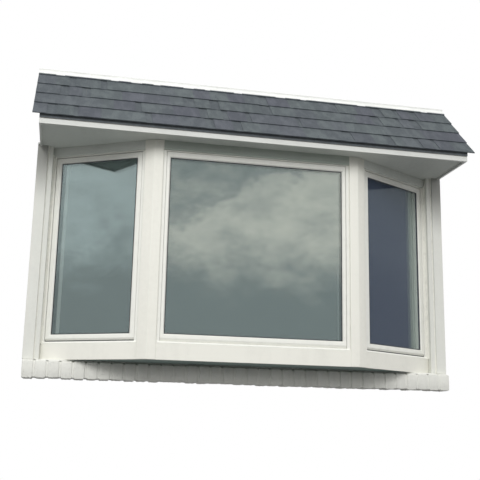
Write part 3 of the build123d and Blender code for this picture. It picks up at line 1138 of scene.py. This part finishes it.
# Sill
class BAY_OT_lay_sill(Operator):
    """Lay the sill's bricks on edge in painted mortar"""

    bl_idname = "bay.lay_sill"
    bl_label = "Lay Sill"

    seed = 7
    fall = 0.009  # of the sloped top, from its start to the nose
    flat_start = 0.012  # depth at which the slope starts
    edge = 0.0042
    end_edge = 0.9  # rounding at a brick's ends, as a share of the arris
    stations = 18
    face_play = 0.0022
    top_play = 0.0018
    lean = 0.012
    lump = 0.0011
    paint_run = 0.004
    lower_part = 0.02  # below a brick's middle, where wear and runs start
    mortar_inset = 0.001
    mortar_lump = 0.0012
    mortar_drop = 0.006
    mortar_stations = 4  # for each brick
    fillet_front = -0.014
    fillet_end = 0.09
    fillet_stations = 120
    fillet_wave = 0.004
    fillet_foot = 0.004
    fillet_top = 0.0002
    fillet_belly = (0.001, 0.4)  # in front of the top edge, and share of the wedge below it
    fillet_bed = 0.0006
    fillet_skin = 0.002

    def execute(self, context):
        settings = context.scene.bay_sill
        low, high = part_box("brick_sill")
        material = brick_paint_finish("Masonry paint", settings, low.z, high.z)
        rng = random.Random(self.seed)
        pitch = (high.x - low.x + settings.joint) / settings.bricks
        bricks = bmesh.new()
        bricks.verts.layers.float.new("tone")
        for number in range(settings.bricks):
            left = low.x + number * pitch
            self.lay_brick(bricks, left, left + pitch - settings.joint, low, high, settings, rng)
        add_piece("sill_bricks", bricks, material, ["brick_sill"])
        mortar = bmesh.new()
        self.point_mortar(mortar, low, high, settings)
        add_piece("sill_mortar", mortar, material)
        fillet = bmesh.new()
        self.point_fillet(fillet, low, high)
        add_piece("seat_fillet", fillet, material)
        return {"FINISHED"}

    def slope(self, low):
        """How much the sill's top falls towards its front, for each metre."""
        return self.fall / (self.flat_start - low.y)

    def profile(self, low, front, bottom, top, back):
        """Section of the sill in YZ, with rounded arrises, from the lower front edge round."""
        e = self.edge
        nose_z = top - self.fall
        return [
            (front + e, bottom),
            (back - e, bottom),
            (back, bottom + e),
            (back, top - e),
            (back - e, top),
            (self.flat_start, top),
            (front + e, nose_z + self.slope(low) * e),
            (front + 0.3 * e, nose_z - 0.35 * e),
            (front, nose_z - 1.2 * e),
            (front, (nose_z + bottom) / 2),
            (front, bottom + e),
            (front + 0.3 * e, bottom + 0.3 * e),
        ]

    def lay_brick(self, mesh, left, right, low, high, settings, rng):
        """One brick: rounded arrises, worn lower corners and paint that ran along its lower edge."""
        front = low.y + rng.uniform(0.0, self.face_play)
        bottom = low.z + rng.uniform(0.0, settings.unevenness)
        top = high.z - rng.uniform(0.0, self.top_play)
        lean = rng.uniform(-self.lean, self.lean)
        seed = rng.uniform(0, 90)
        tone = rng.random()
        middle_y = (front + high.y) / 2
        middle_z = (bottom + top) / 2
        profile = self.profile(low, front, bottom, top, high.y)
        sections = []
        for turn in evenly(0.0, pi, self.stations):
            x = left + (right - left) * (1 - cos(turn)) / 2
            end = min(x - left, right - x)
            pull = self.end_edge * set_back(end, self.edge)
            wear = set_back(end, settings.worn_corner)
            run = self.paint_run * abs(noise.noise(Vector((x * 75, seed, 2.1))))
            section = []
            for y, z in profile:
                y_in = pull if y < middle_y else -pull
                z_in = max(pull, wear) + run if z < middle_z - self.lower_part else -pull
                lump = self.lump * noise.noise(Vector((x * 60, z * 60 + seed, y * 60)))
                section.append((x + lean * (z - middle_z), y + y_in + lump, z + z_in + abs(lump)))
            sections.append(section)
        tones = mesh.verts.layers.float["tone"]
        for vertex in loft(mesh, sections):
            vertex[tones] = tone

    def point_mortar(self, mesh, low, high, settings):
        """One body behind the faces of the bricks, with an uneven surface in every joint."""
        depth = settings.joint_depth
        stations = self.mortar_stations * settings.bricks
        sections = []
        for x in evenly(low.x + self.mortar_inset, high.x - self.mortar_inset, stations):
            front = low.y + depth + self.mortar_lump * wobble(x, 41, 3.3)
            bottom = low.z + self.mortar_drop * (1.0 + abs(wobble(x, 27, 9.1)))
            profile = self.profile(low, front, bottom, high.z - depth, high.y - depth)
            sections.append([(x, y, z) for y, z in profile])
        loft(mesh, sections)

    def point_fillet(self, mesh, low, high):
        """A fillet of mortar in the wedge between the sill's slope and the seat above it."""
        slope = self.slope(low)
        half = high.x - self.fillet_end
        belly, share = self.fillet_belly
        sections = []
        for x in evenly(-half, half, self.fillet_stations):
            front = self.fillet_front + self.fillet_wave * wobble(x, 13, 6.6)
            foot = front - self.fillet_foot
            sections.append(
                [
                    (x, self.flat_start, high.z),
                    (x, front, high.z - self.fillet_top),
                    (x, front - belly, high.z - share * slope * (self.flat_start - front)),
                    (x, foot, high.z - slope * (self.flat_start - foot) - self.fillet_bed),
                    (x, self.flat_start, high.z - self.fillet_skin),
                ]
            )
        loft(mesh, sections)


# Trim and boards
class BAY_OT_finish_trim(Operator):
    """Coat the covers, casings, mouldings, aprons, friezes, fascia, roof ends, soffit and underside"""

    bl_idname = "bay.finish_trim"
    bl_label = "Finish Trim"

    # share of painted shade on the casings towards the soffit
    casing_grime = 0.6
    bend_segments = 4

    def execute(self, context):
        settings = context.scene.bay_trim
        coating = coated_trim_finish("White coated trim", settings.white)
        finish_nodes(each_light("apron"), coating, settings.edge)
        # Fascia and roof ends in a darker white, as painted shade under the eave.
        roof_trim_in_shade = coated_trim_finish("White roof trim", settings.fascia)
        finish_nodes(both("roof_end") + ["fascia"], roof_trim_in_shade, settings.edge)
        # Painted shade under the soffit, in a dark copy of the trim white.
        frieze_in_shade = coated_trim_finish("Dusty frieze", settings.frieze)
        finish_nodes(["centre_frieze"], frieze_in_shade, settings.edge)
        # Mouldings and casings in a darker copy of the trim white, as painted shade.
        wall_trim_in_shade = coated_trim_finish("White wall trim", settings.casing)
        finish_nodes(both("jamb_moulding"), wall_trim_in_shade, settings.edge)
        casing_in_shade = coated_trim_finish("White casing", settings.casing, self.casing_grime)
        finish_nodes(both("casing"), casing_in_shade, settings.edge)
        finish_nodes(both("corner_cover"), coating, settings.bend, self.bend_segments)
        panel = soffit_finish("Soffit panel", settings.soffit)
        # The side friezes take the soffit's darker grey as painted shade under the soffit.
        finish_nodes(["soffit"] + both("frieze"), panel, settings.edge)
        # Painted shade under the seat, in a dark copy of the panel.
        shaded = soffit_finish("Weathered panel", settings.underside)
        finish_nodes(["seat_underside"], shaded, settings.edge)
        return {"FINISHED"}


class BAY_OT_seal_joints(Operator):
    """Run white sealant beside the corner covers, the side frames and the mouldings"""

    bl_idname = "bay.seal_joints"
    bl_label = "Seal Joints"

    behind = 0.0003  # the faces that a bead joins
    hollow = 0.0004
    thick = 0.004
    over = 0.0012  # the end of the piece beside the cover
    skin = 0.0001
    cove_start = 0.021  # behind the moulding's front
    cove_reach = 0.010  # along the frame
    cove_hollow = 0.0012
    cove_bed = (0.0002, 0.001)  # behind the frame's face, at the cove's foot and at its back
    cove_corner = (0.0004, 0.003)
    groove_start = 0.006  # in front of the moulding
    groove_hollow = 0.0022
    groove_reach = 0.0045
    groove_bed = (0.0015, 0.004)  # behind the moulding's face

    def execute(self, context):
        angle = context.scene.bay_windows.side_angle
        material = flashing_finish("White sealant", context.scene.bay_trim.white)
        mesh = bmesh.new()
        cover_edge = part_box("right_corner_cover")[0].x
        for name in LIGHTS:
            light = LightPlane(name, angle)
            for piece in ("apron", "frame", "frieze"):
                low, high = light.extent(piece)
                face = light.window_face() if piece == "frame" else low[2]
                if name == "centre":
                    spans = [(high[0] - self.over, cover_edge), (-cover_edge, low[0] + self.over)]
                else:
                    spans = [(light.extent("corner_cover")[1][0], low[0] + self.over)]
                for span in spans:
                    self.run_bead(mesh, self.joint_bead(light, span, face), (low[1], high[1]), 1)
        light = LightPlane("right", angle)
        frame_low, frame_high = light.extent("frame")
        casing_low, casing_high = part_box("right_casing")
        corner = self.corner_cove(light, frame_high[0])
        groove = self.groove_cove(casing_low.x)
        for side in (-1, 1):
            self.run_bead(mesh, corner, (frame_low[1], frame_high[1]), side)
            self.run_bead(mesh, groove, (casing_low.z, casing_high.z), side)
        add_piece("joint_sealant", mesh, material)
        return {"FINISHED"}

    def joint_bead(self, light, span, face):
        """Plan of a bead with a hollow face, just behind the faces it joins."""
        shape = [
            (span[0], face + self.behind),
            (sum(span) / 2, face + self.behind + self.hollow),
            (span[1], face + self.behind),
            (span[1], face + self.thick),
            (span[0], face + self.thick),
        ]
        return [light.point(along, 0, depth).xy for along, depth in shape]

    def corner_cove(self, light, frame_end):
        """Plan of the cove between the right light's frame and the side of the moulding."""
        low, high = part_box("right_jamb_moulding")
        face = light.window_face()
        start = Vector((low.x + self.skin, low.y + self.cove_start))
        foot = light.point(frame_end - self.cove_reach, 0, face + self.cove_bed[0]).xy
        middle = (start + foot) / 2 + Vector((self.cove_hollow, self.cove_hollow))
        back = light.point(frame_end, 0, face + self.cove_bed[1]).xy
        corner = [(low.x - self.cove_corner[0], high.y), (low.x, high.y - self.cove_corner[1])]
        return [start, middle, foot, back, *corner]

    def groove_cove(self, casing_edge):
        """Plan of the cove in the groove between the right casing and its moulding."""
        low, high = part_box("right_jamb_moulding")
        return [
            (casing_edge + self.skin, low.y - self.groove_start),
            (casing_edge - self.groove_hollow, low.y - self.groove_hollow),
            (high.x - self.groove_reach, low.y - self.skin),
            (high.x - self.groove_reach, low.y + self.groove_bed[0]),
            (casing_edge + self.skin, low.y + self.groove_bed[1]),
        ]

    def run_bead(self, mesh, plan, rise, side):
        """Raise a plan from the lower to the upper end, mirrored for the left side."""
        loft(mesh, [[(side * x, y, z) for x, y in plan] for z in rise])


class BAY_OT_finish_carcase(Operator):
    """Paint the seat, head board and posts and give the framing its softwood grain"""

    bl_idname = "bay.finish_carcase"
    bl_label = "Finish Carcase"

    along_x = (0.05, 1.0, 1.0)
    along_y = (1.0, 0.05, 1.0)

    def execute(self, context):
        settings = context.scene.bay_trim
        paint = painted_board_finish("Interior paint", settings.interior)
        painted = ["seat_board", "head_board"] + both("wall_post") + both("corner_post")
        finish_nodes(painted, paint, settings.edge)
        lengthwise = timber_finish("Softwood along the wall", settings, self.along_x)
        finish_nodes(["roof_ledger", "roof_deck"], lengthwise, settings.edge)
        crosswise = timber_finish("Softwood across the wall", settings, self.along_y)
        finish_nodes(["seat_joists", "rafters"], crosswise, settings.edge)
        return {"FINISHED"}


# Windows
class BAY_OT_finish_windows(Operator):
    """Finish the vinyl frames and sashes and run the seals round the opening sashes"""

    bl_idname = "bay.finish_windows"
    bl_label = "Finish Windows"

    seal_depth = 0.006
    seal_width = 0.0028
    seal_length = 0.008
    seal_drop = 0.003  # wider gap under the sash
    chamfer = 0.001
    overlap = 0.0002
    lip_depth = 0.0024
    lip = ((0.0, 0.0), (-0.003, -0.0012), (-0.0058, 0.0), (-0.0058, 0.0015), (0.0, 0.004))
    # black strip that stands as painted shade under the frieze
    head_width = 0.0028
    head_stand = 0.002

    def execute(self, context):
        settings = context.scene.bay_windows
        vinyl = vinyl_finish("White vinyl", settings.vinyl)
        finish_nodes(each_light("frame") + each_light("sash"), vinyl, settings.edge)
        rubber = seal_finish("Weather seal", settings.seal)
        for name in SIDES:
            light = LightPlane(name, settings.side_angle)
            mesh = bmesh.new()
            self.seal_sash(mesh, light)
            self.seal_head(mesh, light)
            add_piece(f"{name}_weather_seal", mesh, rubber)
        return {"FINISHED"}

    def seal_sash(self, mesh, light):
        """A seal in the gap round the sash, and a lip under it on the frame's nose."""
        # Real seals, set to fill the gaps with black: partly painted shade in the sash joints.
        low, high = light.extent("sash")
        first = low[2] + self.seal_depth
        last = first + self.seal_length
        profile = [
            (self.overlap, first),
            (self.seal_width, first + self.chamfer),
            (self.seal_width, last - self.chamfer),
            (self.overlap, last),
        ]
        light.ring(mesh, (low[0], low[1] - self.seal_drop), high, profile)
        front = first + self.lip_depth
        light.bar(mesh, (low[0], high[0]), [(low[1] + up, front + back) for up, back in self.lip])

    def seal_head(self, mesh, light):
        """A thin black strip on the frame's face under the frieze: painted shade for the shadow line
        there.
        """
        low, high = light.extent("frame")
        face = light.window_face()
        top = high[1] - self.overlap
        foot = top - self.head_width
        strip = [
            (top, face + self.head_stand),
            (top, face - self.head_stand),
            (foot, face - 0.5 * self.head_stand),
            (foot, face + self.head_stand),
        ]
        light.bar(mesh, (low[0] + self.chamfer, high[0] - self.chamfer), strip)


class BAY_OT_glaze_lights(Operator):
    """Set the panes, gaskets and spacer bars"""

    bl_idname = "bay.glaze_lights"
    bl_label = "Glaze Lights"

    pane = 0.004
    arris = 0.0006
    bite = 0.0115  # of the glass inside the sash
    lip_tuck = 0.0005
    lip_rise = 0.0012
    lip_height = 0.0026
    butyl = 0.0035
    butyl_half = 0.0008
    butyl_bulge = 0.0014
    bar_shadow = 0.012
    sash_share = 0.45  # of the reveal, for the sash side
    # how much the centre light's painted reflection dulls above the cloud bank's edge
    cloud_edge = 0.28
    spacer_edge = 0.0003

    def execute(self, context):
        settings = context.scene.bay_windows
        rubber = seal_finish("Glazing gasket", settings.seal)
        bar = spacer_finish("Spacer bar", settings.spacer)
        finish_nodes(each_light("spacer"), bar, self.spacer_edge)
        for name in LIGHTS:
            light = LightPlane(name, settings.side_angle)
            self.set_panes(light, settings)
            self.run_gaskets(light, settings, rubber)
        return {"FINISHED"}

    def set_panes(self, light, settings):
        """The outer pane mirrors the sky and the inner one hides the dark room."""
        low, high = light.extent("glass")
        shaded = light.name == "right"
        cloudy = light.name == "centre"
        body = settings.shaded_glass if shaded else settings.glass
        tints = (settings.glass_tint, settings.cloud_tint if cloudy else settings.glass_tint)
        indices = getattr(settings, f"{light.name}_mirror")
        # In the left light the lit and the shaded band change places.
        seen = [settings.jamb, settings.reveal]
        if light.name == "left":
            seen.reverse()
        panes = {
            "outer": (low[2], settings.outer_opacity),
            "inner": (high[2] - self.pane, settings.inner_opacity),
        }
        for place, (depth, opacity) in panes.items():
            colours = (body, *(seen if place == "inner" or shaded else (body, body)))
            edge = self.cloud_edge if cloudy else 0.0
            name = f"{light.name} {place} glass"
            material = glass_finish(name, colours, tints, indices, opacity, edge)
            mesh = bmesh.new()
            self.form_pane(mesh, light, depth, getattr(settings, f"{light.name}_reveal"))
            stands_for = [f"{light.name}_glass"] if place == "outer" else []
            add_piece(f"{light.name}_{place}_pane", mesh, material, stands_for)

    def form_pane(self, mesh, light, depth, reveal):
        """A pane with ground arrises. Its vertices say how far inside each band at its end they lie."""
        bands = {"jamb": reveal, "sash": self.sash_share * reveal, "bar": self.bar_shadow}
        for name in bands:
            mesh.verts.layers.float.new(name)
        low, high = light.extent("glass")
        sections = []
        for offset, inset in (
            (0.0, self.arris),
            (self.arris, 0.0),
            (self.pane - self.arris, 0.0),
            (self.pane, self.arris),
        ):
            left, right = low[0] + inset, high[0] - inset
            bottom, top = low[1] + inset, high[1] - inset
            corners = ((left, bottom), (right, bottom), (right, top), (left, top))
            sections.append([light.point(along, up, depth + offset) for along, up in corners])
        for vertex in loft(mesh, sections):
            end = high[0] - self.bite - (vertex.co - light.origin).dot(light.across)
            for name, width in bands.items():
                vertex[mesh.verts.layers.float[name]] = width - end

    def run_gaskets(self, light, settings, rubber):
        """Soft lips on both faces of the glass and the butyl between panes and spacer bar."""
        low, high = light.extent("glass")
        sight_low = (low[0] + self.bite, low[1] + self.bite)
        sight_high = (high[0] - self.bite, high[1] - self.bite)
        lip = settings.gasket
        mesh = bmesh.new()
        for face, out in ((low[2], -1), (high[2], 1)):
            profile = [
                (self.lip_tuck, face),
                (-lip, face),
                (-0.8 * lip, face + out * self.lip_rise),
                (self.lip_tuck, face + out * self.lip_height),
            ]
            light.ring(mesh, sight_low, sight_high, profile)
        for first in (low[2] + self.pane, high[2] - self.pane - self.butyl):
            profile = [
                (self.butyl_half, first),
                (self.butyl_half, first + self.butyl),
                (-self.butyl_half, first + self.butyl),
                (-self.butyl_bulge, first + self.butyl / 2),
                (-self.butyl_half, first),
            ]
            light.ring(mesh, sight_low, sight_high, profile)
        add_piece(f"{light.name}_gaskets", mesh, rubber)


class BAY_OT_fit_cranks(Operator):
    """Form the folded window cranks inside the side lights"""

    bl_idname = "bay.fit_cranks"
    bl_label = "Fit Cranks"

    cover = 0.016
    cover_half = 0.046
    cover_form = ((0.0, 1.0), (0.55, 1.0), (0.8, 0.95), (0.95, 0.84), (1.0, 0.7))
    arm = 0.007
    arm_stations = 8
    arm_root = 0.0075
    arm_taper = 0.0025
    arm_flare = 0.01
    flare_start = 0.8
    arm_bow = 0.0015
    knob = 0.008
    knob_neck = ((0.0, 0.5), (0.002, 0.62), (0.006, 0.82))  # height over the neck, share of the radius
    knob_top = ((0.006, 1.0), (0.0025, 0.95), (0.0008, 0.75), (0.0, 0.4))  # the same, below the top

    def execute(self, context):
        settings = context.scene.bay_windows
        enamel = enamel_finish("Crank enamel", settings.enamel)
        for side in SIDES:
            light = LightPlane(side, settings.side_angle)
            mesh = bmesh.new()
            self.form_crank(mesh, light)
            add_piece(f"{side}_folding_crank", mesh, enamel, [f"{side}_crank"])
        return {"FINISHED"}

    def form_crank(self, mesh, light):
        """A domed cover on the frame, the folded arm in front of it and the knob at its end."""
        low, high = light.extent("crank")
        middle = (low[1] + high[1]) / 2
        half_height = (high[1] - low[1]) / 2
        hub = (high[0] - self.cover_half, middle)
        knob_centre = (low[0] + self.knob, middle)
        sections = []
        for rise, share in self.cover_form:
            half = (self.cover_half * share, half_height * share)
            sections.append(light.rounded(hub, half, low[2] + self.cover * rise))
        loft(mesh, sections)
        arm_start = low[2] + self.cover
        sections = []
        for share in evenly(0.0, 1.0, self.arm_stations):
            along = hub[0] + (knob_centre[0] - hub[0]) * share
            flare = self.arm_flare * max(0.0, share - self.flare_start)
            half = self.arm_root - self.arm_taper * share + flare
            depth = arm_start + self.arm_bow * sin(pi * share)
            sections.append(self.arm_section(light, along, middle, half, depth))
        loft(mesh, sections)
        neck = arm_start + self.arm * 0.8
        form = [(neck + rise, self.knob * share) for rise, share in self.knob_neck]
        form += [(high[2] - drop, self.knob * share) for drop, share in self.knob_top]
        loft(mesh, [light.rounded(knob_centre, (radius, radius), depth, 2.0) for depth, radius in form])

    def arm_section(self, light, along, middle, half, depth):
        """Rounded bar section across the arm."""
        shape = [(-1, 0.15), (-0.8, 0.0), (0.8, 0.0), (1, 0.15)]
        shape += [(1, 0.75), (0.6, 1.0), (-0.6, 1.0), (-1, 0.75)]
        return [light.point(along, middle + half * up, depth + self.arm * rise) for up, rise in shape]


# Stage
class BAY_OT_set_stage(Operator):
    """Lay the floor, light the bay and place the camera"""

    bl_idname = "bay.set_stage"
    bl_label = "Set Stage"

    floor_sides = 96
    pale = 0.90  # the floor where it is seen
    shade = 0.16  # the floor where it throws light back
    horizon = (-0.05, 0.07)
    sensor = 36.0

    def execute(self, context):
        settings = context.scene.bay_stage
        self.lay_floor(settings)
        self.light_world(context.scene, settings)
        self.hang_softbox(settings)
        self.place_camera(context.scene, settings)
        context.scene.view_settings.view_transform = "Standard"
        return {"FINISHED"}

    def seen_directly(self, nodes):
        """1 for rays that show the background: camera, glossy and transmission rays."""
        rays = ("Is Camera Ray", "Is Glossy Ray", "Is Transmission Ray")
        camera, glossy, through = (nodes.add("ShaderNodeLightPath", {}, {}, ray) for ray in rays)
        return (camera + glossy + through).clamped()

    def lay_floor(self, settings):
        """A pale round floor that throws little light back up at the bay."""
        mesh = bmesh.new()
        radius = settings.floor_radius
        turns = evenly(0.0, 2 * pi, self.floor_sides)[:-1]
        rim = [(radius * cos(turn), radius * sin(turn), settings.floor_level) for turn in turns]
        mesh.faces.new([mesh.verts.new(point) for point in rim])
        data = bpy.data.meshes.new("floor")
        mesh.to_mesh(data)
        mesh.free()
        material, nodes = new_finish("Pale floor")
        seen = self.seen_directly(nodes)
        dark = nodes.add("ShaderNodeBsdfDiffuse", {}, {"Color": opaque((self.shade,) * 3)})
        light = nodes.add("ShaderNodeBsdfDiffuse", {}, {"Color": opaque((self.pale,) * 3)})
        mixed = nodes.add("ShaderNodeMixShader", {}, {0: seen, 1: dark, 2: light})
        nodes.add("ShaderNodeOutputMaterial", {}, {"Surface": mixed})
        data.materials.append(material)
        floor = bpy.data.objects.new("floor", data)
        bpy.context.scene.collection.objects.link(floor)

    def light_world(self, scene, settings):
        """White where it is seen; a sky brighter than the ground where it lights the bay."""
        world = bpy.data.worlds.new("Soft sky")
        world.use_nodes = True
        nodes = Nodes(world.node_tree)
        direction = nodes.add("ShaderNodeTexCoord", {}, {}, "Generated")
        height = nodes.add("ShaderNodeSeparateXYZ", {}, {0: direction}, "Z")
        sky = nodes.step(height, *self.horizon)
        level = settings.ground_level + sky * (settings.sky_level - settings.ground_level)
        seen = self.seen_directly(nodes)
        strength = seen + (1.0 - seen) * level
        white = opaque((1.0, 1.0, 1.0))
        background = nodes.add("ShaderNodeBackground", {}, {"Color": white, "Strength": strength})
        nodes.add("ShaderNodeOutputWorld", {}, {"Surface": background})
        scene.world = world

    def hang_softbox(self, settings):
        data = bpy.data.lights.new("softbox", "AREA")
        data.shape = "RECTANGLE"
        data.size, data.size_y = settings.softbox_size
        data.energy = settings.softbox_power
        softbox = bpy.data.objects.new("softbox", data)
        softbox.location = settings.softbox_place
        middle = (cad_box[0] + cad_box[1]) / 2
        aim = middle - Vector(settings.softbox_place)
        softbox.visible_glossy = False
        softbox.rotation_mode = "QUATERNION"
        softbox.rotation_quaternion = aim.to_track_quat("-Z", "Y")
        bpy.context.scene.collection.objects.link(softbox)

    def place_camera(self, scene, settings):
        data = bpy.data.cameras.new("camera")
        data.lens = settings.lens
        data.sensor_width = self.sensor
        camera = bpy.data.objects.new("camera", data)
        camera.location = settings.camera_place
        camera.rotation_euler = settings.camera_turn
        scene.collection.objects.link(camera)
        scene.camera = camera


class BAY_PT_dressing(Panel):
    """Steps that dress the bay window, in order"""

    bl_idname = "BAY_PT_dressing"
    bl_label = "Bay Window"
    bl_space_type = "VIEW_3D"
    bl_region_type = "UI"
    bl_category = "Bay Window"

    def draw(self, context):
        for step in STEPS:
            self.layout.operator(step.bl_idname)
        for group in SETTINGS:
            box = self.layout.box()
            settings = getattr(context.scene, group)
            for name in settings.__annotations__:
                box.prop(settings, name)


SETTINGS = {
    "bay_roof": BayRoofSettings,
    "bay_sill": BaySillSettings,
    "bay_trim": BayTrimSettings,
    "bay_windows": BayWindowSettings,
    "bay_stage": BayStageSettings,
}
STEPS = (
    BAY_OT_lay_shingles,
    BAY_OT_flash_roof,
    BAY_OT_lay_sill,
    BAY_OT_finish_trim,
    BAY_OT_seal_joints,
    BAY_OT_finish_carcase,
    BAY_OT_finish_windows,
    BAY_OT_glaze_lights,
    BAY_OT_fit_cranks,
    BAY_OT_set_stage,
)
CLASSES = (*SETTINGS.values(), *STEPS, BAY_PT_dressing)


def register():
    for cls in CLASSES:
        bpy.utils.register_class(cls)
    for name, cls in SETTINGS.items():
        setattr(bpy.types.Scene, name, PointerProperty(type=cls))


def unregister():
    for name in SETTINGS:
        delattr(bpy.types.Scene, name)
    for cls in reversed(CLASSES):
        bpy.utils.unregister_class(cls)


def main():
    register()
    bpy.ops.bay.lay_shingles()
    bpy.ops.bay.flash_roof()
    bpy.ops.bay.lay_sill()
    bpy.ops.bay.finish_trim()
    bpy.ops.bay.seal_joints()
    bpy.ops.bay.finish_carcase()
    bpy.ops.bay.finish_windows()
    bpy.ops.bay.glaze_lights()
    bpy.ops.bay.fit_cranks()
    bpy.ops.bay.set_stage()


if __name__ == "__main__":
    main()
